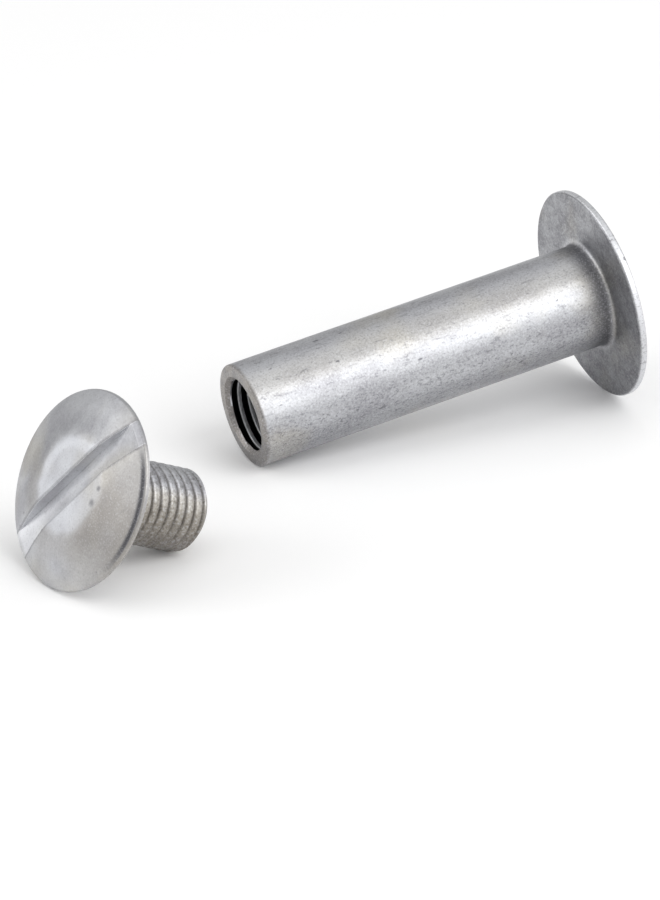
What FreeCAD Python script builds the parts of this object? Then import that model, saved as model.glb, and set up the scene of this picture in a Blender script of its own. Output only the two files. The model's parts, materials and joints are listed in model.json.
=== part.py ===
"""Binding barrel screw: a headed barrel with a threaded bore, and the slotted screw that goes into it.

Both are turned aluminium pieces. They lie apart on a table, each on the edge of its own head and the
edge of its far end. Lengths are in millimetres, the table is Z = 0, and the barrel points along +X.
The threads are too fine for this model: bore and shank are plain, at the thread's full diameter.
"""

import FreeCAD, Part
import Sketcher
import os
from enum import IntEnum

DIMENSIONS = {
    # Barrel: its wall is measured from the bore
    "barrel_wall": 0.65,
    "barrel_length": 23.4,
    "barrel_head_diameter": 13.0,
    "barrel_head_height": 1.25,
    "barrel_rim_height": 0.42,
    "barrel_rim_bevel": 0.1,
    "barrel_crown_diameter": 6.2,
    "barrel_root_radius": 0.3,
    "mouth_edge_bevel": 0.15,
    # Bore: its wall ends this far short of the head's underside
    "thread_clearance": 0.05,
    "bore_stop": 2.0,
    "bore_edge_bevel": 0.12,
    "drill_point_angle": 118.0,
    # Screw
    "thread_diameter": 4.95,
    "shank_length": 7.5,
    "shank_tip_bevel": 0.4,
    "screw_head_diameter": 11.7,
    "screw_head_height": 1.15,
    "screw_rim_height": 0.28,
    "screw_rim_bevel": 0.06,
    "screw_crown_diameter": 5.6,
    "screw_root_radius": 0.85,
    "crown_blend_radius": 2.0,
    # Driver slot
    "slot_width": 1.6,
    "slot_depth": 0.73,
    "slot_rise": 54.0,
    # Where the screw lies: how far beyond the barrel's mouth, how far aside, and how far swung round
    "screw_ahead": 14.5,
    "screw_aside": 9.8,
    "screw_swing": 10.0,
    # The middle of both pieces, seen from above and measured from the centre of the barrel's mouth
    "middle_x": 0.0,
    "middle_y": 0.0,
}
PARTS_FOLDER = "parts"

# How far a found edge's radius and height may be from the asked ones
MATCH = 1e-5

# Sizes that follow from the driving ones, as expressions over the sheet
SHANK_RADIUS = "(Dims.thread_diameter / 2)"
BORE_RADIUS = f"({SHANK_RADIUS} + Dims.thread_clearance)"
BARREL_RADIUS = f"({BORE_RADIUS} + Dims.barrel_wall)"
BARREL_RIM = "(Dims.barrel_head_diameter / 2)"
SCREW_RIM = "(Dims.screw_head_diameter / 2)"
BARREL_CROWN = "(Dims.barrel_crown_diameter / 2)"
SCREW_CROWN = "(Dims.screw_crown_diameter / 2)"
BORE_DEPTH = "(Dims.barrel_length - Dims.bore_stop)"
BORE_POINT = f"({BORE_DEPTH} + {BORE_RADIUS} / tan(Dims.drill_point_angle / 2 * 1deg))"
BARREL_STEP = f"({BARREL_RIM} - {BARREL_RADIUS})"
BARREL_REACH = "(Dims.barrel_length + Dims.barrel_rim_bevel - Dims.mouth_edge_bevel)"
BARREL_TILT = f"atan({BARREL_STEP} / {BARREL_REACH})"
SCREW_STEP = f"({SCREW_RIM} - {SHANK_RADIUS})"
SCREW_REACH = "(Dims.shank_length + Dims.screw_rim_bevel)"
SCREW_TILT = (
    f"min(atan({SCREW_STEP} / ({SCREW_REACH} - Dims.shank_tip_bevel));"
    f" atan(({SCREW_STEP} + Dims.shank_tip_bevel) / {SCREW_REACH}))"
)

doc = FreeCAD.newDocument("BindingBarrelScrew")


class Line(IntEnum):
    """A sketch's own two lines, as Sketcher numbers them. The base line begins at the origin."""

    BASE = -1
    TURNING_AXIS = -2


class Spot(IntEnum):
    """The points of an edge, as Sketcher numbers them."""

    BEGIN = 1
    FINISH = 2
    CENTRE = 3


def make_sheet():
    """One row for each driving dimension, with the dimension's name as the cell's alias."""
    sheet = doc.addObject("Spreadsheet::Sheet", "Dims")
    for row, (name, value) in enumerate(DIMENSIONS.items(), start=1):
        sheet.set(f"A{row}", name)
        sheet.set(f"B{row}", str(value))
        sheet.setAlias(f"B{row}", name)
    doc.recompute()
    return sheet


def size(expression):
    """What an expression over the sheet comes to, as a number."""
    value = sheet.evalExpression(expression.replace("Dims.", ""))
    return float(getattr(value, "Value", value))


# Sketches

def make_sketch(body, name):
    """A sketch on the body's own XZ plane: across is the radius, and up is the body's Z."""
    plane = next(feature for feature in body.Origin.OriginFeatures if feature.Role == "XZ_Plane")
    sketch = body.newObject("Sketcher::SketchObject", name)
    sketch.AttachmentSupport = [(plane, "")]
    sketch.MapMode = "FlatFace"
    return sketch


def set_distance(sketch, direction, first, second, name, expression):
    """Holds two points a bound distance apart, with direction DistanceX or DistanceY."""
    index = sketch.addConstraint(Sketcher.Constraint(direction, *first, *second, size(expression)))
    sketch.renameConstraint(index, name)
    sketch.setExpression(f"Constraints.{name}", expression)


def hold_on(sketch, point, line):
    """Keeps a point on one of the sketch's own two lines."""
    sketch.addConstraint(Sketcher.Constraint("PointOnObject", *point, line))


def hold_corner(sketch, name, radius, height, point):
    """Places a corner of a profile. None stands for a corner on the turning axis or on the base line."""
    if radius is None:
        hold_on(sketch, point, Line.TURNING_AXIS)
    else:
        set_distance(sketch, "DistanceX", (Line.BASE, Spot.BEGIN), point, f"{name}_radius", radius)
    if height is None:
        hold_on(sketch, point, Line.BASE)
    else:
        set_distance(sketch, "DistanceY", (Line.BASE, Spot.BEGIN), point, f"{name}_height", height)


def dome_arc(begin, finish):
    """The arc from one point to another whose centre is on the turning axis."""
    rise = finish.y - begin.y
    level = (begin.y + finish.y) / 2 + (finish.x**2 - begin.x**2) / (2 * rise)
    centre = FreeCAD.Vector(0, level, 0)
    circle = Part.Circle(centre, FreeCAD.Vector(0, 0, 1), (begin - centre).Length)
    return Part.ArcOfCircle(circle, circle.parameter(begin), circle.parameter(finish))


def draw_profile(sketch, corners, dome_from=None):
    """A closed profile through named corners, each with its radius and height, in order and anticlockwise.

    The edge that leaves the corner dome_from is an arc about the turning axis.
    """
    points = [FreeCAD.Vector(size(radius or "0"), size(height or "0"), 0) for _, radius, height in corners]
    edges = []
    for index, (name, _, _) in enumerate(corners):
        ends = points[index], points[(index + 1) % len(points)]
        edge = dome_arc(*ends) if name == dome_from else Part.LineSegment(*ends)
        edges.append(sketch.addGeometry(edge, False))
        if name == dome_from:
            hold_on(sketch, (edges[-1], Spot.CENTRE), Line.TURNING_AXIS)
    for index, edge in enumerate(edges):
        following = edges[(index + 1) % len(edges)]
        sketch.addConstraint(Sketcher.Constraint("Coincident", edge, Spot.FINISH, following, Spot.BEGIN))
    for edge, (name, radius, height) in zip(edges, corners):
        hold_corner(sketch, name, radius, height, (edge, Spot.BEGIN))


def draw_slot(sketch, width, height):
    """A rectangle about the sketch's origin."""
    half_width, half_height = size(width) / 2, size(height) / 2
    corners = [
        FreeCAD.Vector(across * half_width, up * half_height, 0)
        for across, up in ((-1, -1), (1, -1), (1, 1), (-1, 1))
    ]
    edges = [
        sketch.addGeometry(Part.LineSegment(corners[index], corners[(index + 1) % 4]), False)
        for index in range(4)
    ]
    for index, edge in enumerate(edges):
        following = edges[(index + 1) % 4]
        sketch.addConstraint(Sketcher.Constraint("Coincident", edge, Spot.FINISH, following, Spot.BEGIN))
        sketch.addConstraint(Sketcher.Constraint("Vertical" if index % 2 else "Horizontal", edge))
    opposite = edges[0], Spot.BEGIN, edges[2], Spot.BEGIN
    sketch.addConstraint(Sketcher.Constraint("Symmetric", *opposite, Line.BASE, Spot.BEGIN))
    set_distance(sketch, "DistanceX", (edges[0], Spot.BEGIN), (edges[0], Spot.FINISH), "width", width)
    set_distance(sketch, "DistanceY", (edges[1], Spot.BEGIN), (edges[1], Spot.FINISH), "height", height)


# Features

def turn(body, kind, name, sketch):
    """A Revolution or a Groove of the sketch, all the way round the body's Z."""
    feature = body.newObject(f"PartDesign::{kind}", name)
    feature.Profile = sketch
    feature.ReferenceAxis = (sketch, ["V_Axis"])
    feature.Angle = 360
    sketch.Visibility = False
    doc.recompute()
    return feature


def ring_edge(feature, radius, height):
    """The name of the feature's circular edge with this radius, at this height on the turning axis."""
    radius, height = size(radius), size(height)
    for index, edge in enumerate(feature.Shape.Edges, start=1):
        curve = edge.Curve
        if isinstance(curve, Part.Circle) and abs(curve.Radius - radius) < MATCH:
            if abs(curve.Center.z - height) < MATCH:
                return f"Edge{index}"
    raise ValueError(f"{feature.Name} has no edge of radius {radius} at height {height}")


def dress_edge(body, kind, name, radius, height, amount):
    """A Fillet or a Chamfer on one circular edge of the body as it stands."""
    base = body.Tip
    feature = body.newObject(f"PartDesign::{kind}", name)
    feature.Base = (base, [ring_edge(base, radius, height)])
    feature.setExpression("Radius" if kind == "Fillet" else "Size", amount)
    doc.recompute()
    return feature


# Pieces

def make_barrel():
    """The barrel, with its mouth at the body's origin and its head up the body's Z."""
    body = doc.addObject("PartDesign::Body", "Barrel")
    body.Label = "barrel"
    head_top = "Dims.barrel_length + Dims.barrel_head_height"

    profile = make_sketch(body, "BarrelProfile")
    draw_profile(
        profile,
        [
            ("mouth_centre", None, None),
            ("mouth_edge", BARREL_RADIUS, None),
            ("head_root", BARREL_RADIUS, "Dims.barrel_length"),
            ("rim_under", BARREL_RIM, "Dims.barrel_length"),
            ("rim_top", BARREL_RIM, "Dims.barrel_length + Dims.barrel_rim_height"),
            ("crown_edge", BARREL_CROWN, head_top),
            ("crown_centre", None, head_top),
        ],
        dome_from="rim_top",
    )
    turn(body, "Revolution", "TurnedBarrel", profile)

    bore = make_sketch(body, "BoreProfile")
    draw_profile(
        bore,
        [
            ("opening_centre", None, None),
            ("opening_edge", f"{BORE_RADIUS} + Dims.bore_edge_bevel", None),
            ("wall_start", BORE_RADIUS, "Dims.bore_edge_bevel"),
            ("wall_end", BORE_RADIUS, BORE_DEPTH),
            ("drill_point", None, BORE_POINT),
        ],
    )
    turn(body, "Groove", "DrilledBore", bore)

    under_head = "Dims.barrel_length"
    dress_edge(body, "Fillet", "RootFillet", BARREL_RADIUS, under_head, "Dims.barrel_root_radius")
    dress_edge(body, "Fillet", "CrownBlend", BARREL_CROWN, head_top, "Dims.crown_blend_radius")
    dress_edge(body, "Chamfer", "RimBevel", BARREL_RIM, under_head, "Dims.barrel_rim_bevel")
    dress_edge(body, "Chamfer", "MouthBevel", BARREL_RADIUS, "0", "Dims.mouth_edge_bevel")
    return body


def make_screw():
    """The screw, with the top of its head at the body's origin and its tip up the body's Z."""
    body = doc.addObject("PartDesign::Body", "Screw")
    body.Label = "screw"
    tip = "Dims.screw_head_height + Dims.shank_length"

    profile = make_sketch(body, "ScrewProfile")
    draw_profile(
        profile,
        [
            ("crown_centre", None, None),
            ("crown_edge", SCREW_CROWN, None),
            ("rim_top", SCREW_RIM, "Dims.screw_head_height - Dims.screw_rim_height"),
            ("rim_under", SCREW_RIM, "Dims.screw_head_height"),
            ("shank_root", SHANK_RADIUS, "Dims.screw_head_height"),
            ("tip_edge", SHANK_RADIUS, tip),
            ("tip_centre", None, tip),
        ],
        dome_from="crown_edge",
    )
    turn(body, "Revolution", "TurnedScrew", profile)

    under_head = "Dims.screw_head_height"
    dress_edge(body, "Fillet", "RootFillet", SHANK_RADIUS, under_head, "Dims.screw_root_radius")
    dress_edge(body, "Fillet", "CrownBlend", SCREW_CROWN, "0", "Dims.crown_blend_radius")
    dress_edge(body, "Chamfer", "RimBevel", SCREW_RIM, under_head, "Dims.screw_rim_bevel")
    dress_edge(body, "Chamfer", "TipBevel", SHANK_RADIUS, tip, "Dims.shank_tip_bevel")

    outline = make_sketch(body, "SlotOutline")
    draw_slot(outline, "Dims.slot_width", "Dims.slot_depth * 2")
    slot = body.newObject("PartDesign::Pocket", "DriverSlot")
    slot.Profile = outline
    slot.Midplane = True
    slot.setExpression("Length", "Dims.screw_head_diameter * 2")
    outline.Visibility = False
    doc.recompute()
    return body


# Places on the table

def lay_barrel(body):
    """Rests the barrel on its rim and its mouth's edge, and points it along +X."""
    height = f"{BARREL_RADIUS} * cos({BARREL_TILT}) - Dims.mouth_edge_bevel * sin({BARREL_TILT})"
    body.setExpression(
        "Placement",
        f"placement(vector(-Dims.middle_x; -Dims.middle_y; {height});"
        f" rotation(vector(0; 1; 0); 90deg - {BARREL_TILT}))",
    )


def lay_screw(body):
    """Rests the screw on its rim and its tip's edge, with its slot as the photograph shows it."""
    height = f"{SCREW_RIM} * cos({SCREW_TILT}) - Dims.screw_rim_bevel * sin({SCREW_TILT})"
    body.setExpression(
        "Placement",
        f"placement(vector(-Dims.screw_ahead - Dims.middle_x; -Dims.screw_aside - Dims.middle_y; {height});"
        f" rotation(vector(0; 0; 1); Dims.screw_swing) * rotation(vector(0; 1; 0); 90deg + {SCREW_TILT}))"
        " * placement(vector(0; 0; -Dims.screw_head_height);"
        " rotation(vector(0; 0; 1); -Dims.slot_rise))",
    )


def centre_pieces(bodies):
    """Moves the origin under the middle of the pieces' common box."""
    box = FreeCAD.BoundBox()
    for body in bodies:
        box.add(body.Shape.optimalBoundingBox(False, False))
    for name, value in (("middle_x", box.Center.x), ("middle_y", box.Center.y)):
        sheet.set(sheet.getCellFromAlias(name), str(value))
    doc.recompute()


# Export

def check_document():
    """Stops if any object failed to build."""
    for thing in doc.Objects:
        if any(word in thing.State for word in ("Invalid", "Error")):
            raise RuntimeError(f"{thing.Label} is in state {thing.State}")
        shape = getattr(thing, "Shape", None)
        if thing.isDerivedFrom("PartDesign::Feature") or thing.isDerivedFrom("PartDesign::Body"):
            if shape is None or shape.isNull() or not shape.isValid():
                raise RuntimeError(f"{thing.Label} has no valid shape")


def export_piece(body):
    if len(body.Shape.Solids) != 1:
        raise RuntimeError(f"{body.Label} has {len(body.Shape.Solids)} solids")
    body.Shape.exportStep(os.path.join(PARTS_FOLDER, f"{body.Label}.step"))


sheet = make_sheet()
barrel = make_barrel()
screw = make_screw()
lay_barrel(barrel)
lay_screw(screw)
doc.recompute()
centre_pieces([barrel, screw])
check_document()
os.makedirs(PARTS_FOLDER, exist_ok=True)
for piece in (barrel, screw):
    export_piece(piece)
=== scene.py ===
"""Binding barrel screw, dressed: a headed barrel with a threaded bore, and the slotted screw that fits it.

Each piece is drawn in millimetres about its own turning axis, and is then laid where its node lies.
"""

import json
import math
from types import SimpleNamespace

import bpy
from bpy.props import FloatProperty, FloatVectorProperty, PointerProperty
from mathutils import Matrix, Vector


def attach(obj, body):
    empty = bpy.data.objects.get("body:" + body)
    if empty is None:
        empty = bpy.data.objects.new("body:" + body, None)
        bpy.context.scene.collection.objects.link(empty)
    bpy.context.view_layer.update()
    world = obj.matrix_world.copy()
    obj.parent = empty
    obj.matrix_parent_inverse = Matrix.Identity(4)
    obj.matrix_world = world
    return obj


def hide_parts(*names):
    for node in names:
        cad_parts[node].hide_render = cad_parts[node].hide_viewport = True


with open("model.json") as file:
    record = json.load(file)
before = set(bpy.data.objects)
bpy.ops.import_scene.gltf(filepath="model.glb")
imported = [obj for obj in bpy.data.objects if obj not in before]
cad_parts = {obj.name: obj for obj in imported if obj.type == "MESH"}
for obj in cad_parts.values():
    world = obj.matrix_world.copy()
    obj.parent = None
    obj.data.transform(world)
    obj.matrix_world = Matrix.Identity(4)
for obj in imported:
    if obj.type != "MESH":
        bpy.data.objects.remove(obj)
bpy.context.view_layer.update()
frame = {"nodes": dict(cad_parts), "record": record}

bl_info = {
    "name": "Binding barrel screw",
    "version": (1, 0, 0),
    "blender": (4, 5, 0),
    "location": "3D View > Sidebar > Binding screw",
    "description": "A turned aluminium binding barrel and its slotted screw, lying apart",
    "category": "Object",
}

MM = 0.001
FULL_TURN = 2 * math.pi
QUARTER_TURN = math.pi / 2

# How finely the pieces are divided
COLUMNS = 96
CORNER_STEPS, DOME_STEPS, BLEND_STEPS, ROOT_STEPS = 4, 26, 5, 6
BARREL_RINGS = 11
# Rings inside the flat crown, as shares of its radius
CROWN_RINGS = (0.75, 0.4)
# In millimetres: rings this far from an edge keep the wall beside it straight where it is shaded smooth
STRIP, RIM_STRIP, RIM_STRIPS, MOUTH_STRIP = 0.12, 0.03, (0.3, 0.08), 0.25
# Faces that meet at less than this are shaded smooth
SMOOTH_BELOW = math.radians(38)

# In millimetres: points closer than this are merged, and a winding's end is laid flat from this far
MERGE = 1e-4
SNAP = 0.005

# In millimetres: how far a crest lies inside the mouth, and from the underside of the screw's head
BORE_CREST, SHANK_CREST = 0.53, 1.0
# In millimetres: over what height each thread runs out, and how fast the bore's deepens from the mouth
BORE_RUN_OUT, SHANK_RUN_OUT = 0.6, 0.5
BORE_LEAD = 3

# Two small dark spots on the screw's crown: millimetres across the slot, along it, and from middle to edge
SPOTS = ((1.6, -2.2, 0.24), (2.0, -1.35, 0.34))
# The barrel's side that faces down in the picture, as a direction across its axis
PICTURE_DOWN = (0.91, -0.42, 0)

# The lights in metres: name, power setting, place, width and height
LIGHTS = (
    ("main_light", "key", (0.125, -0.33, 0.35), 0.30, 0.32),
    ("front_light", "front", (0.16, -0.47, 0.11), 0.34, 0.2),
    ("top_light", "top", (0.03, 0.02, 0.5), 0.34, 0.34),
    ("left_light", "left", (-0.43, 0.13, 0.21), 0.4, 0.3),
    ("right_light", "right", (0.46, -0.18, 0.14), 0.25, 0.25),
)
# The camera and the floor in metres
CAMERA_PLACE = (-0.1385, -0.2918, 0.1458)
CAMERA_AIM = (0.0017, 0.00403, 0)
CAMERA_ROLL = math.radians(-1)
FLOOR_WIDTH = 4


# Values a user would change

def length(name, description, millimetres):
    """A size that is shown in the scene's length unit."""
    return FloatProperty(
        name=name, description=description, default=millimetres * MM, min=0, precision=5,
        subtype="DISTANCE", unit="LENGTH",
    )


def turn(name, description, degrees):
    """An angle."""
    return FloatProperty(
        name=name, description=description, default=math.radians(degrees), subtype="ANGLE", unit="ROTATION"
    )


def number(name, description, value):
    """A plain number, such as a strength."""
    return FloatProperty(name=name, description=description, default=value, min=0)


def linear(code):
    """An sRGB hex colour as linear red, green and blue."""
    shares = (int(code[start:start + 2], 16) / 255 for start in (1, 3, 5))
    return tuple(s / 12.92 if s <= 0.04045 else ((s + 0.055) / 1.055) ** 2.4 for s in shares)


def colour(name, description, code):
    """A colour, given as sRGB hex."""
    return FloatVectorProperty(
        name=name, description=description, default=linear(code), size=3, min=0, max=1, subtype="COLOR"
    )


class BarrelSizes(bpy.types.PropertyGroup):
    """Sizes of the barrel."""

    diameter: length("Diameter", "Outside of the barrel", 6.35)
    reach: length("Length", "From the mouth to the underside of the head", 23.4)
    root: length("Root radius", "Fillet between barrel and head", 0.3)
    mouth_bevel: length("Mouth bevel", "Broken outer edge of the mouth", 0.15)
    head_diameter: length("Head diameter", "Across the head", 13.0)
    head_height: length("Head height", "From the head's underside to its crown", 1.25)
    rim_height: length("Rim height", "Height of the head's straight rim", 0.42)
    rim_bevel: length("Rim bevel", "Broken lower edge of the rim", 0.1)
    rim_soft: length("Rim rounding", "Rounded upper edge of the rim", 0.1)
    crown_diameter: length("Crown diameter", "Across the flat crown", 6.2)
    crown_blend: length("Crown blend", "Radius between crown and dome", 2.0)
    bore_depth: length("Bore depth", "From the mouth to the start of the drill point", 21.4)
    thread_depth: length("Threaded depth", "From the mouth to the end of the thread", 17.5)
    thread_diameter: length("Thread diameter", "Across the roots of the inner thread", 5.05)
    lip: length("Bore lip", "Countersink at the start of the bore", 0.25)
    point_angle: turn("Drill point", "Full angle of the bore's end", 118)


class ScrewSizes(bpy.types.PropertyGroup):
    """Sizes of the screw."""

    diameter: length("Diameter", "Across the crests of the thread", 4.95)
    reach: length("Length", "From the head's underside to the tip", 7.5)
    root: length("Root radius", "Flare between shank and head", 0.85)
    tip_bevel: length("Tip bevel", "Bevel at the end of the shank", 0.4)
    head_diameter: length("Head diameter", "Across the head", 11.7)
    head_height: length("Head height", "From the head's underside to its crown", 1.15)
    rim_height: length("Rim height", "Height of the head's straight rim", 0.28)
    rim_bevel: length("Rim bevel", "Broken lower edge of the rim", 0.06)
    rim_soft: length("Rim rounding", "Rounded upper edge of the rim", 0.12)
    crown_diameter: length("Crown diameter", "Across the flat crown", 5.6)
    crown_blend: length("Crown blend", "Radius between crown and dome", 2.0)
    slot_width: length("Slot width", "Across the driver slot", 1.6)
    slot_depth: length("Slot depth", "From the crown to the slot's floor", 0.73)
    slot_edge: length("Slot edge", "Broken edge of the slot", 0.05)
    slot_turn: turn("Slot turn", "How far the slot is turned from level", 54)


class ThreadSizes(bpy.types.PropertyGroup):
    """Sizes of both threads."""

    pitch: length("Pitch", "Advance in one turn", 0.635)
    depth: length("Bore thread depth", "From crest to root of the inner thread", 0.33)
    shank_depth: length("Shank thread depth", "From crest to root of the screw's thread", 0.17)


class Finish(bpy.types.PropertyGroup):
    """Colours of the metal, and of the light and shade painted on it."""

    bright: colour("Bright", "Clean aluminium", "#BEBFC2")
    dull: colour("Dull", "Aluminium where it is oxidised", "#AAAAAE")
    # A faint tarnish in patches, and warm tints; also painted light in the roots of the screw's thread on its
    # lower side
    warm_tarnish_and_light: colour("Warm", "Aluminium with a faint tarnish", "#BAB5A9")
    # Rubbed aluminium in the grain, the slot and the shank's specks; also a painted highlight on the crown,
    # the dome's lower side and a band along the barrel
    rubbed: colour("Rubbed", "Aluminium rubbed bright", "#D8DADF")
    milled: colour("Milled", "Freshly cut aluminium in the slot, on the rim and in the bore", "#F2F3F6")
    # Painted shade: this tone darkens the metal where shade falls, under and beside the heads, round the
    # mouth, in bands along the barrel and on the dome
    shaded: colour("Kept dull", "Aluminium that tumbling reaches least", "#76767A")
    # A light brown stain; also painted shade on the mouth's ring and in its countersink, and on the screw's
    # dome outside the crown and towards its rim
    stain_and_shade: colour("Stained", "Aluminium with a light brown stain", "#938C84")
    brown: colour("Brown", "Aluminium with a heavy stain of cutting oil", "#776E63")
    grime: colour("Grime", "Dirt in the roots of the screw's thread", "#59534D")
    # Dark oxide in pits, flecks and scuffs; also a painted dark reflection just inside the screw's rim
    pit_and_shade: colour("Pits", "Oxide and dirt held in pits", "#66666B")
    # Painted shade: near black in the roots of the inner thread, and in the dark line inside the screw's rim
    painted_deep_shade: colour("Roots", "Dirt and cutting oil in the roots of the inner thread", "#0C0C0C")


class Stage(bpy.types.PropertyGroup):
    """Floor, light and camera."""

    floor: colour("Floor", "Colour of the floor", "#FDFDFD")
    sky: number("Room light", "Strength of the even light from all round", 0.62)
    key: number("Main light", "Power of the large light above the camera's right, in watts", 0.9)
    front: number("Front light", "Power of the low light in front, in watts", 0.3)
    top: number("Top light", "Power of the light overhead, in watts", 0.25)
    left: number("Left light", "Power of the light to the left, in watts", 0.6)
    right: number("Right light", "Power of the light to the right, in watts", 0.35)
    lens: number("Lens", "Focal length in millimetres on a 36 mm wide frame", 327.1)


class Binding(bpy.types.PropertyGroup):
    """All the values of the part."""

    barrel: PointerProperty(type=BarrelSizes)
    screw: PointerProperty(type=ScrewSizes)
    thread: PointerProperty(type=ThreadSizes)
    finish: PointerProperty(type=Finish)
    stage: PointerProperty(type=Stage)


def in_mm(group):
    """A group's lengths as millimetres and its angles as they are."""
    values = {}
    for prop in group.bl_rna.properties:
        if prop.type == "FLOAT":
            value = getattr(group, prop.identifier)
            values[prop.identifier] = value / MM if prop.unit == "LENGTH" else value
    return SimpleNamespace(**values)


# Where a turned piece lies

def seat(node, mount, along=1, turned=0.0):
    """The place of a turned piece: Z runs along its axis from its first face, X down and Y level, in mm."""
    found = next(m for m in frame["record"]["mounts"] if m["name"] == mount)
    middle, axis = Vector(found["pos_m"]), along * Vector(found["axis"]).normalized()
    first = min((v.co - middle).dot(axis) for v in frame["nodes"][node].data.vertices)
    level = Vector((0, 0, 1)).cross(axis).normalized()
    down = level.cross(axis)
    place = Matrix((down, level, axis)).transposed().to_4x4()
    place.translation = middle + first * axis
    return place @ Matrix.Rotation(turned, 4, "Z") @ Matrix.Scale(MM, 4)


# Profiles: points of radius and height

def bend(centre, radius, first, last, steps):
    """Points of an arc from one angle to another."""
    return [
        (
            centre[0] + radius * math.cos(first + (last - first) * i / steps),
            centre[1] + radius * math.sin(first + (last - first) * i / steps),
        )
        for i in range(steps + 1)
    ]


def head_outline(size, begin):
    """A head from its underside, at height 0, round its rim and over its dome to the middle of its crown."""
    rim, top, crown = size.head_diameter / 2, size.head_height, size.crown_diameter / 2
    flat = rim - size.rim_bevel
    # The dome is part of a ball about a point on the axis
    rise = top - size.rim_height
    level = (size.rim_height + top) / 2 + (crown**2 - rim**2) / (2 * rise)
    ball = math.hypot(rim, size.rim_height - level)
    # A smaller arc leads from the dome into the crown
    blend = size.crown_blend
    aside = math.sqrt((ball - blend) ** 2 - (top - blend - level) ** 2)
    meet = math.atan2(top - blend - level, aside)
    # The rim is rounded from below its upper edge to a point a little way up the dome
    from_height, to_height = size.rim_height - size.rim_soft, size.rim_height + size.rim_soft * 0.3
    edge = math.asin((to_height - level) / ball)
    corner = ball * math.cos(edge)
    return [
        (begin, 0),
        (begin + STRIP, 0),
        *[(flat - strip, 0) for strip in RIM_STRIPS],
        (flat, 0),
        (rim, size.rim_bevel),
        (rim, size.rim_bevel + RIM_STRIP),
        *[
            (
                rim - (rim - corner) * (1 - math.cos(QUARTER_TURN * step / CORNER_STEPS)),
                from_height + (to_height - from_height) * math.sin(QUARTER_TURN * step / CORNER_STEPS),
            )
            for step in range(CORNER_STEPS)
        ],
        *bend((0, level), ball, edge, meet, DOME_STEPS),
        *bend((aside, top - blend), blend, meet, QUARTER_TURN, BLEND_STEPS)[1:],
        *[(aside * share, top) for share in CROWN_RINGS],
        (0, top),
    ]


def barrel_outline(size, opening):
    """The barrel from its opening, at height 0, over its outside and its head to the middle of the crown."""
    wall, under, bevel = size.diameter / 2, size.reach, size.mouth_bevel
    # The mouth's edge is broken with a slightly rounded bevel, and the rings stop short of the head
    bulge, straight = (wall - bevel * 0.3, bevel * 0.35), under - 1.2
    return [
        (opening, 0),
        (wall - bevel - MOUTH_STRIP, 0),
        (wall - bevel, 0),
        bulge,
        (wall, bevel),
        (wall, bevel + STRIP),
        *[(wall, bevel + STRIP + straight * i / BARREL_RINGS) for i in range(1, BARREL_RINGS)],
        (wall, under - size.root - STRIP),
        *bend((wall + size.root, under - size.root), size.root, math.pi, QUARTER_TURN, ROOT_STEPS),
        *[(r, under + h) for r, h in head_outline(size, wall + size.root)[1:]],
    ]


# Half of one pitch, from root to crest: share of the pitch, and share of the depth below the crest.
# The screw's crests are broad and rounded, and its roots narrow. The tapped thread has narrow crests.
SCREW_THREAD = (
    (0.0, 1.0), (0.03, 0.94), (0.07, 0.74), (0.12, 0.5), (0.18, 0.3), (0.25, 0.15), (0.34, 0.05),
    (0.5, 0.0),
)
BORE_THREAD = (
    (0.0, 1.0), (0.07, 1.0), (0.11, 0.92), (0.21, 0.52), (0.31, 0.12), (0.35, 0.03), (0.5, 0.0),
)


# What bevels and run-outs leave of a thread: functions of height and radius

def ease(share):
    """0 below 0, 1 above 1, and smooth in between."""
    share = min(max(share, 0), 1)
    return share * share * (3 - 2 * share)


def bore_limit(size, depth):
    """The bore: a countersink, a thread that deepens from the mouth and runs out, then the drilled hole."""
    root = size.thread_diameter / 2
    drill = root - depth

    def limit(height, radius):
        lip = drill + size.lip - height
        lead = drill + max(0, height - size.lip) * BORE_LEAD
        run_out = root - depth * ease((height - size.thread_depth) / BORE_RUN_OUT)
        return max(min(radius, lead, run_out), drill, lip)
    return limit


def shank_limit(size, depth, tip):
    """The shank: a flare under the head, a thread that starts out of it, and a bevel at the tip."""
    crest, flare_end = size.diameter / 2, size.head_height + size.root

    def limit(height, radius):
        if height < flare_end:
            left = crest + size.root - math.sqrt(size.root**2 - (flare_end - height) ** 2)
        else:
            left = crest - depth * ease((height - flare_end) / SHANK_RUN_OUT)
        past = height - (tip - size.tip_bevel)
        return min(max(radius, left), crest - past) if past > 0 else max(radius, left)
    return limit


# Modelling by hand

def deselect():
    """Leaves nothing selected, in object mode."""
    if bpy.context.object and bpy.context.object.mode != "OBJECT":
        bpy.ops.object.mode_set(mode="OBJECT")
    bpy.ops.object.select_all(action="DESELECT")


def select(*pieces):
    """Leaves these pieces selected, in object mode, with the first one active."""
    deselect()
    for piece in pieces:
        piece.select_set(True)
    bpy.context.view_layer.objects.active = pieces[0]


def draw_line(name, points):
    """A new mesh that is one line through points of radius and height, left in edit mode, all selected."""
    deselect()
    bpy.ops.mesh.primitive_circle_add(vertices=3, radius=1, location=(0, 0, 0))
    piece = bpy.context.active_object
    piece.name = piece.data.name = name
    bpy.ops.object.mode_set(mode="EDIT")
    bpy.ops.mesh.select_mode(type="VERT")
    bpy.ops.mesh.select_all(action="SELECT")
    bpy.ops.mesh.merge(type="CENTER")
    bpy.ops.transform.translate(value=(points[0][0], 0, points[0][1]))
    for before, after in zip(points, points[1:]):
        step = (after[0] - before[0], 0, after[1] - before[1])
        bpy.ops.mesh.extrude_region_move(TRANSFORM_OT_translate={"value": step})
    bpy.ops.mesh.select_all(action="SELECT")
    return piece


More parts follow.
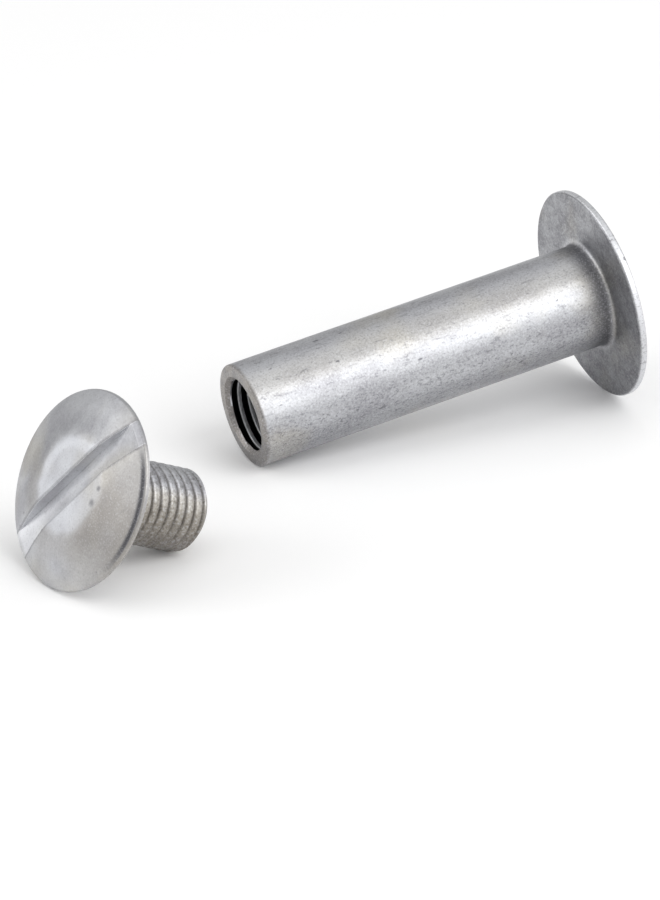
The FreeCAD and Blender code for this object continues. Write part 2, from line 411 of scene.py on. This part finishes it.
def spin_piece(name, points):
    """A turned surface."""
    piece = draw_line(name, points)
    bpy.ops.mesh.spin(steps=COLUMNS, angle=FULL_TURN, center=(0, 0, 0), axis=(0, 0, 1))
    bpy.ops.mesh.select_all(action="SELECT")
    bpy.ops.mesh.remove_doubles(threshold=MERGE)
    bpy.ops.object.mode_set(mode="OBJECT")
    return piece


def wind_thread(name, pitch, depth, half, crest, crest_at, first, last, limit):
    """A threaded surface between two heights, with a crest at the height crest_at.

    Depth is negative where the roots lie inside the crests. limit(height, radius) gives the radius that is
    left once bevels and run-outs are cut.
    """
    start = crest_at - pitch / 2
    while start > first - pitch:
        start -= pitch
    # Turns beyond the two ends are laid flat on them, and then have no area and are dropped
    turns = math.ceil((last - start) / pitch) + 2
    whole = [*half, *((1 - along, low) for along, low in reversed(half[:-1]))]
    form = [(crest + depth * low, start + pitch * along) for along, low in whole]
    piece = draw_line(name, form)
    bpy.ops.object.mode_set(mode="OBJECT")
    winding = piece.modifiers.new("Winding", "SCREW")
    winding.axis, winding.angle, winding.screw_offset = "Z", FULL_TURN, pitch
    winding.iterations, winding.steps, winding.render_steps = turns, COLUMNS, COLUMNS
    bpy.ops.object.modifier_apply(modifier=winding.name)
    for vertex in piece.data.vertices:
        x, y, height = vertex.co
        height = first if height < first + SNAP else last if height > last - SNAP else height
        scale = limit(height, math.hypot(x, y)) / math.hypot(x, y)
        vertex.co = (x * scale, y * scale, height)
    tidy(piece)
    return piece


def choose_faces(piece, test):
    """Selects the faces whose centre passes a test."""
    bpy.ops.mesh.select_all(action="DESELECT")
    bpy.ops.object.mode_set(mode="OBJECT")
    for face in piece.data.polygons:
        face.select = test(face.center)
    bpy.ops.object.mode_set(mode="EDIT")
    bpy.ops.mesh.select_mode(type="FACE")


def cut_slot(head, size):
    """Cuts the driver slot across a head whose crown is at height 0 and whose slot runs along Y."""
    half, floor, edge = size.slot_width / 2, size.slot_depth, size.slot_edge
    above_underside, near = size.head_height - 0.05, MERGE * 10
    select(head)
    bpy.ops.object.mode_set(mode="EDIT")
    for across in (-half - edge, -half, half, half + edge):
        choose_faces(head, lambda centre: centre.z < above_underside)
        bpy.ops.mesh.bisect(plane_co=(across, 0, 0), plane_no=(1, 0, 0), threshold=MERGE)
    choose_faces(head, lambda centre: abs(centre.x) < half and centre.z < above_underside)
    bpy.ops.mesh.bisect(plane_co=(0, 0, floor), plane_no=(0, 0, 1), threshold=MERGE)
    choose_faces(head, lambda centre: abs(centre.x) < half and centre.z < floor)
    bpy.ops.mesh.extrude_region_move(TRANSFORM_OT_translate={"value": (0, 0, 0)})
    bpy.ops.object.mode_set(mode="OBJECT")
    for vertex in head.data.vertices:
        if vertex.select:
            vertex.co.z = floor
        elif abs(abs(vertex.co.x) - half) < near and vertex.co.z < floor:
            vertex.co.z = min(vertex.co.z + edge, floor)
    tidy(head)


def tidy(piece):
    """Merges what lies on one spot, drops what has no area, and turns the faces outwards."""
    select(piece)
    bpy.ops.object.mode_set(mode="EDIT")
    bpy.ops.mesh.select_all(action="SELECT")
    bpy.ops.mesh.remove_doubles(threshold=MERGE)
    bpy.ops.mesh.dissolve_degenerate(threshold=MERGE)
    bpy.ops.mesh.select_all(action="SELECT")
    bpy.ops.mesh.normals_make_consistent(inside=False)
    bpy.ops.object.mode_set(mode="OBJECT")


def join(first, *others):
    """Makes several surfaces into one closed piece, the first."""
    select(first, *others)
    bpy.ops.object.join()
    tidy(first)


def lay(piece, place):
    """Brings a finished piece from millimetres about its axis to its place, and keeps that in its mesh."""
    select(piece)
    piece.matrix_world = place
    bpy.ops.object.transform_apply(location=True, rotation=True, scale=True)
    bpy.ops.object.shade_smooth_by_angle(angle=SMOOTH_BELOW)


# Materials. Patterns are laid on millimetres about the piece's own axis, so a noise scale of 2 gives marks
# about 0.5 mm wide, and the span of a mask on a distance is in millimetres.

def add_node(tree, kind, inputs=None, **settings):
    """Adds a node, with its settings, its values and the links into it."""
    made = tree.nodes.new(kind)
    for name, value in settings.items():
        setattr(made, name, value)
    for name, value in (inputs or {}).items():
        if isinstance(value, bpy.types.NodeSocket):
            tree.links.new(value, made.inputs[name])
        else:
            made.inputs[name].default_value = value
    return made


def new_material(name):
    """An empty material, with its tree and its output."""
    material = bpy.data.materials.new(name)
    material.use_nodes = True
    tree = material.node_tree
    tree.nodes.clear()
    return material, tree, add_node(tree, "ShaderNodeOutputMaterial")


def rgba(values):
    """A colour with its alpha."""
    return (*values, 1.0)


def own_coordinates(tree, place):
    """Millimetres about the piece's own axis, from Object coordinates."""
    coordinates = add_node(tree, "ShaderNodeTexCoord")
    return add_node(
        tree, "ShaderNodeMapping", vector_type="TEXTURE",
        inputs={
            "Vector": coordinates.outputs["Object"],
            "Location": place.translation,
            "Rotation": place.to_euler(),
            "Scale": (MM, MM, MM),
        },
    ).outputs["Vector"]


def around_axis(tree, own):
    """Distance from the axis, and height along it."""
    flat = add_node(
        tree, "ShaderNodeVectorMath", operation="MULTIPLY", inputs={0: own, 1: (1, 1, 0)}
    ).outputs["Vector"]
    radius = add_node(tree, "ShaderNodeVectorMath", operation="LENGTH", inputs={0: flat}).outputs["Value"]
    height = add_node(tree, "ShaderNodeSeparateXYZ", inputs={"Vector": own}).outputs["Z"]
    return radius, height


def mask(tree, value, rise=None, fall=None):
    """A mask that rises from 0 to 1 over one span and falls back over another. Either may be left out."""
    shares = [
        add_node(
            tree, "ShaderNodeMapRange", interpolation_type="SMOOTHSTEP",
            inputs={"Value": value, "From Min": span[0], "From Max": span[1], "To Min": low, "To Max": high},
        ).outputs["Result"]
        for span, low, high in ((rise, 0.0, 1.0), (fall, 1.0, 0.0)) if span
    ]
    if len(shares) == 1:
        return shares[0]
    return add_node(
        tree, "ShaderNodeMath", operation="MULTIPLY", inputs={0: shares[0], 1: shares[1]}
    ).outputs[0]


def paint(tree, base, layers):
    """Colours laid one over another, each at its share and only where all its masks meet."""
    for tone, share, *masks in layers:
        for part in masks:
            share = add_node(
                tree, "ShaderNodeMath", operation="MULTIPLY", inputs={0: share, 1: part}
            ).outputs[0]
        base = add_node(
            tree, "ShaderNodeMix", data_type="RGBA", inputs={0: share, 6: base, 7: rgba(tone)}
        ).outputs[2]
    return base


def tumbled_aluminium(name, place, finish, wear_and_shade, along, grained, flecked, pitting):
    """Aluminium, turned and then tumbled: satin, with a fine grain, cloudy oxide and small dark pits.

    Tumbling blurs every reflection and leaves no clear turning marks, so it looks soft and cloudy. The wear
    function gives the layers of wear and stains, and of painted light and shade, on this piece. Marks are
    drawn out along the axis where along is under 1, and the last three are the shares of grain, flecks and
    pits.
    """
    material, tree, output = new_material(name)
    own = own_coordinates(tree, place)
    drawn = add_node(
        tree, "ShaderNodeMapping", inputs={"Vector": own, "Scale": (1, 1, along)}
    ).outputs["Vector"]

    # Clouds of oxide, about 2 mm across
    cloud = add_node(
        tree, "ShaderNodeTexNoise", inputs={"Vector": drawn, "Scale": 0.55, "Detail": 4.0, "Roughness": 0.6}
    ).outputs["Fac"]
    # Grain of the tumbling media. The real one is under 0.05 mm: it is drawn at 0.1 mm so that it shows.
    grain = add_node(
        tree, "ShaderNodeTexNoise", inputs={"Vector": own, "Scale": 9.0, "Detail": 2.0, "Roughness": 0.6}
    ).outputs["Fac"]
    # Flecks of oxide, under 0.1 mm wide and longer along the axis, in groups 0.3 mm across
    flecks = add_node(
        tree, "ShaderNodeTexNoise", inputs={"Vector": drawn, "Scale": 3.4, "Detail": 5.0, "Roughness": 0.72}
    ).outputs["Fac"]
    # Nicks and rub marks, 0.2 mm wide and up to 1 mm long, along the axis
    rubs = add_node(
        tree, "ShaderNodeMapping", inputs={"Vector": own, "Scale": (1, 1, along * 0.4)}
    ).outputs["Vector"]
    nicks = add_node(
        tree, "ShaderNodeTexNoise", inputs={"Vector": rubs, "Scale": 5.0, "Detail": 3.0, "Roughness": 0.6}
    ).outputs["Fac"]
    # Tarnish, in patches about 5 mm across
    tarnish = add_node(
        tree, "ShaderNodeTexNoise", inputs={"Vector": own, "Scale": 0.21, "Detail": 2.0}
    ).outputs["Fac"]
    # Pits, 0.2 mm across and at most one to each square millimetre
    pitted = add_node(
        tree, "ShaderNodeTexVoronoi", inputs={"Vector": drawn, "Scale": 1.2, "Randomness": 1.0}
    ).outputs["Distance"]

    base = paint(tree, rgba(finish.bright), [
        (finish.dull, 1.0, mask(tree, cloud, (0.36, 0.66))),
        (finish.warm_tarnish_and_light, 0.5, mask(tree, tarnish, (0.5, 0.68))),
        *wear_and_shade(tree, own),
        (finish.pit_and_shade, grained, mask(tree, grain, (0.52, 0.72))),
        (finish.rubbed, grained, mask(tree, grain, fall=(0.28, 0.5))),
        (finish.pit_and_shade, flecked, mask(tree, flecks, (0.58, 0.68))),
        (finish.pit_and_shade, flecked * 0.6, mask(tree, nicks, (0.58, 0.7))),
        (finish.pit_and_shade, pitting, mask(tree, pitted, fall=(0.05, 0.13)), mask(tree, flecks, (0.5, 0.56))),
    ])
    rough = add_node(
        tree, "ShaderNodeMapRange", inputs={"Value": cloud, "To Min": 0.36, "To Max": 0.54}
    ).outputs["Result"]
    uneven = add_node(
        tree, "ShaderNodeBump", inputs={"Height": cloud, "Strength": 0.3, "Distance": 0.1 * MM}
    ).outputs["Normal"]
    fine = add_node(
        tree, "ShaderNodeBump",
        inputs={"Height": grain, "Strength": grained, "Distance": 0.004 * MM, "Normal": uneven},
    ).outputs["Normal"]
    shader = add_node(
        tree, "ShaderNodeBsdfPrincipled",
        inputs={"Base Color": base, "Metallic": 1.0, "Roughness": rough, "Normal": fine},
    )
    tree.links.new(shader.outputs["BSDF"], output.inputs["Surface"])
    return material


def barrel_wear_and_shade(size, finish):
    """Painted light and shade in bands along the barrel; painted shade under the head, beside it and round
    the mouth.
    """
    def layers(tree, own):
        radius, height = around_axis(tree, own)
        wall, under = size.diameter / 2, size.reach
        bore, rim = size.thread_diameter / 2, size.head_diameter / 2
        below = add_node(
            tree, "ShaderNodeVectorMath", operation="DOT_PRODUCT", inputs={0: own, 1: PICTURE_DOWN}
        ).outputs["Value"]
        # Smears, about 1 mm across
        smear = add_node(
            tree, "ShaderNodeTexNoise", inputs={"Vector": own, "Scale": 0.9, "Detail": 4.0, "Roughness": 0.65}
        ).outputs["Fac"]
        # Scuffs, 0.1 mm wide and 0.25 mm long
        drawn = add_node(
            tree, "ShaderNodeMapping", inputs={"Vector": own, "Scale": (1, 1, 0.5)}
        ).outputs["Vector"]
        scuffs = add_node(
            tree, "ShaderNodeTexNoise",
            inputs={"Vector": drawn, "Scale": 8.0, "Detail": 3.0, "Roughness": 0.65},
        ).outputs["Fac"]

        smeared = mask(tree, smear, (0.42, 0.62))
        on_barrel = mask(tree, radius, fall=(wall + 0.05, wall + 0.25))
        beside_head = mask(tree, height, (under - 1.7, under - 0.4), (under - 0.2, under))
        on_head = mask(tree, height, (under - 0.15, under - 0.05), (under + 0.02, under + 0.1))
        outside = mask(tree, radius, (wall + 0.2, wall + 0.5))
        mouth = mask(tree, height, fall=(0.02, 0.3))
        at_mouth = mask(tree, height, fall=(0.3, 0.35))
        countersunk = mask(tree, radius, fall=(bore - 0.1, bore - 0.06))
        return [
            # Bands along the barrel: painted light above the highlight, a warm tint, painted shade in two
            # bands below it, and scuffs on the lower side
            (finish.rubbed, 0.38, on_barrel, mask(tree, below, (-3.0, -2.5), (-2.4, -1.4))),
            (finish.warm_tarnish_and_light, 0.3, on_barrel, mask(tree, below, (-2.8, -1.8), (-1.2, -0.4))),
            (finish.shaded, 0.22, on_barrel, mask(tree, below, (0.0, 0.7), (0.7, 1.5))),
            (finish.shaded, 0.28, on_barrel, mask(tree, below, (1.7, 2.3), (2.6, 3.1))),
            (finish.pit_and_shade, 0.55, on_barrel, mask(tree, below, (0.0, 1.6)), mask(tree, scuffs, (0.52, 0.66))),
            # Painted shade under the head, partly in smears, and on the barrel beside it
            (finish.shaded, 0.85, beside_head, on_barrel),
            (finish.shaded, 0.4, on_head, outside),
            (finish.shaded, 0.5, on_head, outside, smeared),
            # The mouth's ring and the countersink in it: a stain with painted shade, darker on the lower side
            (finish.stain_and_shade, 0.7, mouth),
            (finish.shaded, 0.45, mouth, smeared),
            (finish.shaded, 0.3, mouth, mask(tree, below, (0.5, 2.5))),
            (finish.stain_and_shade, 0.8, at_mouth, countersunk),
            (finish.shaded, 0.35, at_mouth, countersunk),
            # The rim, which the cutter left bright
            (finish.milled, 0.5, mask(tree, radius, (rim - 0.06, rim - 0.03))),
        ]
    return layers


def screw_wear_and_shade(size, thread, finish):
    """Painted highlight round the crown's edge, lighter in the slot, painted shade outside the crown, dirt on
    the thread.
    """
    def layers(tree, own):
        radius, height = around_axis(tree, own)
        crown, crest, rim = size.crown_diameter / 2, size.diameter / 2, size.head_diameter / 2
        half, depth = size.slot_width / 2, thread.shank_depth
        # The slot runs along Y. Drop is how far down a point lies, and sideways how far to the side on which
        # the shank shows.
        parts = add_node(tree, "ShaderNodeSeparateXYZ", inputs={"Vector": own})
        across, along = parts.outputs["X"], parts.outputs["Y"]
        aside = add_node(tree, "ShaderNodeMath", operation="ABSOLUTE", inputs={0: across}).outputs[0]
        drop, sideways = (
            add_node(
                tree, "ShaderNodeVectorMath", operation="DOT_PRODUCT", inputs={0: own, 1: direction}
            ).outputs["Value"]
            for direction in (
                (math.cos(size.slot_turn), math.sin(size.slot_turn), 0),
                (math.sin(size.slot_turn), -math.cos(size.slot_turn), 0),
            )
        )
        # The edge of the crown's painted highlight wanders by up to 1 mm, in waves 2 mm long
        wobble = add_node(
            tree, "ShaderNodeTexNoise", inputs={"Vector": own, "Scale": 0.5, "Detail": 2.0}
        ).outputs["Fac"]
        uneven = add_node(
            tree, "ShaderNodeMath", operation="ADD", inputs={0: wobble, 1: radius}
        ).outputs[0]
        # Blotches 0.6 mm across and specks 0.15 mm across, of dirt on the shank
        blotches = add_node(
            tree, "ShaderNodeTexNoise", inputs={"Vector": own, "Scale": 1.6, "Detail": 4.0, "Roughness": 0.7}
        ).outputs["Fac"]
        speckle = add_node(
            tree, "ShaderNodeTexNoise", inputs={"Vector": own, "Scale": 6.0, "Detail": 2.0, "Roughness": 0.6}
        ).outputs["Fac"]
        spots = [
            mask(tree, add_node(
                tree, "ShaderNodeVectorMath", operation="DISTANCE", inputs={0: own, 1: (x, y, 0)}
            ).outputs["Value"], fall=(0.06, reach))
            for x, y, reach in SPOTS
        ]

        face = mask(tree, aside, (half + 0.01, half + 0.05))
        slot_floor = mask(tree, aside, fall=(half - 0.05, half - 0.02))
        lower = mask(tree, drop, (-0.8, 0.8))
        shank_side = mask(tree, sideways, (0.5, 3.0))
        # Painted shade: where the dome is darkened, on the shank's side towards the rim
        painted_shade_side = (
            shank_side,
            mask(tree, drop, (-3.5, -0.5), (1.5, 5.5)),
            mask(tree, uneven, (crown - 0.3, crown + 1.4)),
        )
        head = [
            # The crown: a painted highlight, lighter towards its edge and brightest on the upper side
            (finish.rubbed, 0.3, face, mask(tree, uneven, fall=(crown - 0.5, crown + 0.5))),
            (finish.rubbed, 0.5, face,
             mask(tree, uneven, (crown - 0.3, crown + 0.2), (crown + 0.35, crown + 0.85)),
             mask(tree, drop, fall=(-0.5, 1.6))),
            (finish.rubbed, 0.25, face,
             mask(tree, uneven, (crown - 0.1, crown + 0.3), (crown + 0.4, crown + 0.8))),
            # The dome round it: painted shade above, painted light below, and a warm tint on the shank's side
            (finish.shaded, 0.3, face, mask(tree, drop, fall=(1.0, 3.5)),
             mask(tree, uneven, (crown + 0.6, crown + 1.2), (crown + 1.3, crown + 2.6))),
            (finish.rubbed, 0.15, face, mask(tree, drop, (2.0, 4.0))),
            # A painted highlight on the crown's lower part, and painted shade beyond it
            (finish.rubbed, 0.3, face, lower, mask(tree, uneven, fall=(crown + 0.1, crown + 0.5))),
            (finish.stain_and_shade, 0.3, face, lower,
             mask(tree, uneven, (crown + 0.2, crown + 0.7), (crown + 1.0, crown + 2.4))),
            (finish.warm_tarnish_and_light, 0.3, face, shank_side),
            # Painted shade on the shank's side, towards the rim
            (finish.stain_and_shade, 0.4, face, *painted_shade_side),
            (finish.shaded, 0.3, face, *painted_shade_side),
            # A painted dark reflection: a line just inside the rim, on the shank's side
            (finish.pit_and_shade, 0.9, mask(tree, sideways, (2.2, 4.2)), mask(tree, drop, (-4.5, -2.5), (1.2, 4.0)),
             mask(tree, radius, (rim - 0.5, rim - 0.24), (rim - 0.14, rim - 0.05))),
            (finish.painted_deep_shade, 0.5, mask(tree, sideways, (2.6, 4.4)), mask(tree, drop, (-4.2, -2.2), (0.8, 3.2)),
             mask(tree, radius, (rim - 0.4, rim - 0.26), (rim - 0.2, rim - 0.08))),
            # The slot: its floor, its walls, and darker lines along its edges
            (finish.rubbed, 0.1, slot_floor),
            (finish.milled, 0.4, mask(tree, along, (-4.4, -2.6)),
             mask(tree, across, (0.02 - half, 0.06 - half), (0.2 - half, 0.9 - half))),
            (finish.milled, 0.3, slot_floor, mask(tree, along, (1.5, 5.0))),
            (finish.milled, 0.4, mask(tree, aside, (half - 0.03, half - 0.01), (half + 0.01, half + 0.02))),
            (finish.pit_and_shade, 0.35, mask(tree, aside, (half + 0.01, half + 0.02), (half + 0.1, half + 0.2))),
            *[(finish.pit_and_shade, 0.6, spot) for spot in spots],
        ]
        shank = [
            # Browner and darker towards the lower side, with a warm band across the middle
            (finish.stain_and_shade, 0.5, mask(tree, drop, (-1.6, 0.0))),
            (finish.warm_tarnish_and_light, 0.6, mask(tree, drop, (-1.8, -1.0), (0.6, 1.6))),
            (finish.brown, 0.52, mask(tree, drop, (-1.5, 0.6))),
            # Blotches and specks
            (finish.grime, 0.3, mask(tree, blotches, (0.46, 0.68))),
            (finish.grime, 0.45, mask(tree, speckle, (0.5, 0.68))),
            (finish.rubbed, 0.35, mask(tree, speckle, fall=(0.32, 0.48))),
            # The roots of the thread: painted light on the lower side, and darker on the upper
            (finish.warm_tarnish_and_light, 0.4, mask(tree, drop, (0.6, 2.0)),
             mask(tree, radius, fall=(crest - depth * 0.7, crest - depth * 0.2))),
            (finish.grime, 0.6, mask(tree, drop, fall=(-0.3, 1.5)),
             mask(tree, radius, fall=(crest - depth * 0.95, crest - depth * 0.2))),
        ]
        on_head = mask(tree, height, fall=(size.head_height - 0.3, size.head_height))
        on_shank = mask(tree, height, (size.head_height + 0.1, size.head_height + 0.4))
        return [
            (tone, share, where, *masks)
            for where, side in ((on_head, head), (on_shank, shank))
            for tone, share, *masks in side
        ]
    return layers


def bore_with_painted_shade(place, finish, crest, root):
    """Tapped aluminium inside a blind hole: roots painted black as shade, so that only the crests catch
    light.
    """
    material, tree, output = new_material("tapped_aluminium_bore")
    own = own_coordinates(tree, place)
    radius, _ = around_axis(tree, own)
    # Grain of the cut, 0.2 mm across
    grain = add_node(
        tree, "ShaderNodeTexNoise", inputs={"Vector": own, "Scale": 5.0, "Detail": 3.0}
    ).outputs["Fac"]
    base = paint(tree, rgba(finish.milled), [
        (finish.pit_and_shade, 0.6, grain),
        # Painted shade: the roots of the thread near black
        (finish.painted_deep_shade, 1.0, mask(tree, radius, (crest, crest + (root - crest) * 0.35))),
    ])
    # Fine swarf in the oil scatters some of the light, so the crests aren't a pure mirror
    shader = add_node(
        tree, "ShaderNodeBsdfPrincipled", inputs={"Base Color": base, "Metallic": 0.8, "Roughness": 0.35}
    )
    tree.links.new(shader.outputs["BSDF"], output.inputs["Surface"])
    return material


def matt_floor(tone):
    """Matt white card: even and without gloss, so the shadows on it stay soft."""
    material, tree, output = new_material("matt_card_floor")
    shader = add_node(
        tree, "ShaderNodeBsdfPrincipled",
        inputs={"Base Color": rgba(tone), "Roughness": 0.9, "Specular IOR Level": 0.1},
    )
    tree.links.new(shader.outputs["BSDF"], output.inputs["Surface"])
    return material


# Operators

def finish_piece(piece, node):
    """Ties a finished piece to the frame."""
    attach(piece, "root")
    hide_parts(node)


class BINDING_OT_barrel(bpy.types.Operator):
    """Turns, drills and taps the barrel"""

    bl_idname = "binding.barrel"
    bl_label = "Make barrel"

    def execute(self, context):
        values = context.scene.binding
        size, thread = in_mm(values.barrel), in_mm(values.thread)
        place = seat("barrel", "barrel_thread", along=-1)
        root = size.thread_diameter / 2
        drill = root - thread.depth
        point = size.bore_depth + drill / math.tan(size.point_angle / 2)

        barrel = spin_piece("barrel_dressed", barrel_outline(size, drill + size.lip))
        bore = wind_thread(
            "bore", thread.pitch, thread.depth, BORE_THREAD, crest=drill,
            crest_at=BORE_CREST + thread.pitch / 4, first=0, last=size.bore_depth,
            limit=bore_limit(size, thread.depth),
        )
        end = spin_piece("bore_end", [
            (drill, size.bore_depth), (drill / 2, (size.bore_depth + point) / 2), (0, point),
        ])
        join(barrel, bore, end)

        barrel.data.materials.append(tumbled_aluminium(
            "tumbled_aluminium_barrel", place, values.finish, barrel_wear_and_shade(size, values.finish),
            along=0.4, grained=0.4, flecked=0.5, pitting=0.8,
        ))
        barrel.data.materials.append(bore_with_painted_shade(place, values.finish, drill, root))
        for face in barrel.data.polygons:
            centre = face.center
            inside = math.hypot(centre.x, centre.y) < root + 0.02 and size.lip < centre.z < point
            face.material_index = 1 if inside else 0
        lay(barrel, place)
        finish_piece(barrel, "barrel")
        return {"FINISHED"}


class BINDING_OT_screw(bpy.types.Operator):
    """Turns and threads the screw, and cuts its slot"""

    bl_idname = "binding.screw"
    bl_label = "Make screw"

    def execute(self, context):
        values = context.scene.binding
        size, thread = in_mm(values.screw), in_mm(values.thread)
        place = seat("screw", "screw_thread", turned=-size.slot_turn)
        crest, under = size.diameter / 2, size.head_height
        tip, face = under + size.reach, crest - size.tip_bevel

        screw = spin_piece(
            "screw_dressed", [(r, under - h) for r, h in head_outline(size, crest + size.root)]
        )
        cut_slot(screw, size)
        shank = wind_thread(
            "shank", thread.pitch, -thread.shank_depth, SCREW_THREAD, crest=crest,
            crest_at=under + SHANK_CREST, first=under, last=tip,
            limit=shank_limit(size, thread.shank_depth, tip),
        )
        end = spin_piece("shank_end", [(face, tip), (face * 0.85, tip), (0, tip)])
        join(screw, shank, end)

        screw.data.materials.append(tumbled_aluminium(
            "tumbled_aluminium_screw", place, values.finish, screw_wear_and_shade(size, thread, values.finish),
            along=0.8, grained=0.18, flecked=0.15, pitting=0.3,
        ))
        lay(screw, place)
        finish_piece(screw, "screw")
        return {"FINISHED"}


class BINDING_OT_stage(bpy.types.Operator):
    """Lays the floor and sets the light and the camera"""

    bl_idname = "binding.stage"
    bl_label = "Make stage"

    def execute(self, context):
        values = context.scene.binding.stage
        deselect()
        bpy.ops.mesh.primitive_plane_add(size=FLOOR_WIDTH, location=(0, 0, 0))
        floor = context.active_object
        floor.name = "floor"
        floor.data.materials.append(matt_floor(values.floor))

        world = bpy.data.worlds.new("room")
        world.use_nodes = True
        background = world.node_tree.nodes["Background"]
        background.inputs["Color"].default_value = (1, 1, 1, 1)
        background.inputs["Strength"].default_value = values.sky
        context.scene.world = world
        context.scene.view_settings.view_transform = "Standard"

        for name, setting, place, width, height in LIGHTS:
            soft_light(name, place, width, height, getattr(values, setting))

        bpy.ops.object.camera_add()
        camera = context.active_object
        camera.name = "camera"
        camera.data.sensor_fit = "HORIZONTAL"
        camera.data.sensor_width = 36
        camera.data.lens = values.lens
        camera.data.clip_start, camera.data.clip_end = 0.01, 10
        place = Vector(CAMERA_PLACE)
        facing = (Vector(CAMERA_AIM) - place).to_track_quat("-Z", "Y").to_matrix().to_4x4()
        camera.matrix_world = Matrix.Translation(place) @ facing @ Matrix.Rotation(CAMERA_ROLL, 4, "Z")
        context.scene.camera = camera
        return {"FINISHED"}


def soft_light(name, place, width, height, power):
    """A rectangular studio light that faces the part."""
    bpy.ops.object.light_add(type="AREA", location=place)
    light = bpy.context.active_object
    light.name = name
    light.data.shape, light.data.size, light.data.size_y = "RECTANGLE", width, height
    light.data.energy = power
    light.rotation_euler = (-Vector(place)).to_track_quat("-Z", "Y").to_euler()


class BINDING_PT_panel(bpy.types.Panel):
    """The steps that make the part, in order"""

    bl_label = "Binding barrel screw"
    bl_idname = "BINDING_PT_panel"
    bl_space_type = "VIEW_3D"
    bl_region_type = "UI"
    bl_category = "Binding screw"

    def draw(self, context):
        for operator in OPERATORS:
            self.layout.operator(operator.bl_idname)


GROUPS = (BarrelSizes, ScrewSizes, ThreadSizes, Finish, Stage, Binding)
OPERATORS = (BINDING_OT_barrel, BINDING_OT_screw, BINDING_OT_stage)
CLASSES = (*GROUPS, *OPERATORS, BINDING_PT_panel)


def register():
    for cls in CLASSES:
        bpy.utils.register_class(cls)
    bpy.types.Scene.binding = PointerProperty(type=Binding)


def unregister():
    del bpy.types.Scene.binding
    for cls in reversed(CLASSES):
        bpy.utils.unregister_class(cls)


def main():
    register()
    bpy.ops.binding.barrel()
    bpy.ops.binding.screw()
    bpy.ops.binding.stage()


if __name__ == "__main__":
    main()
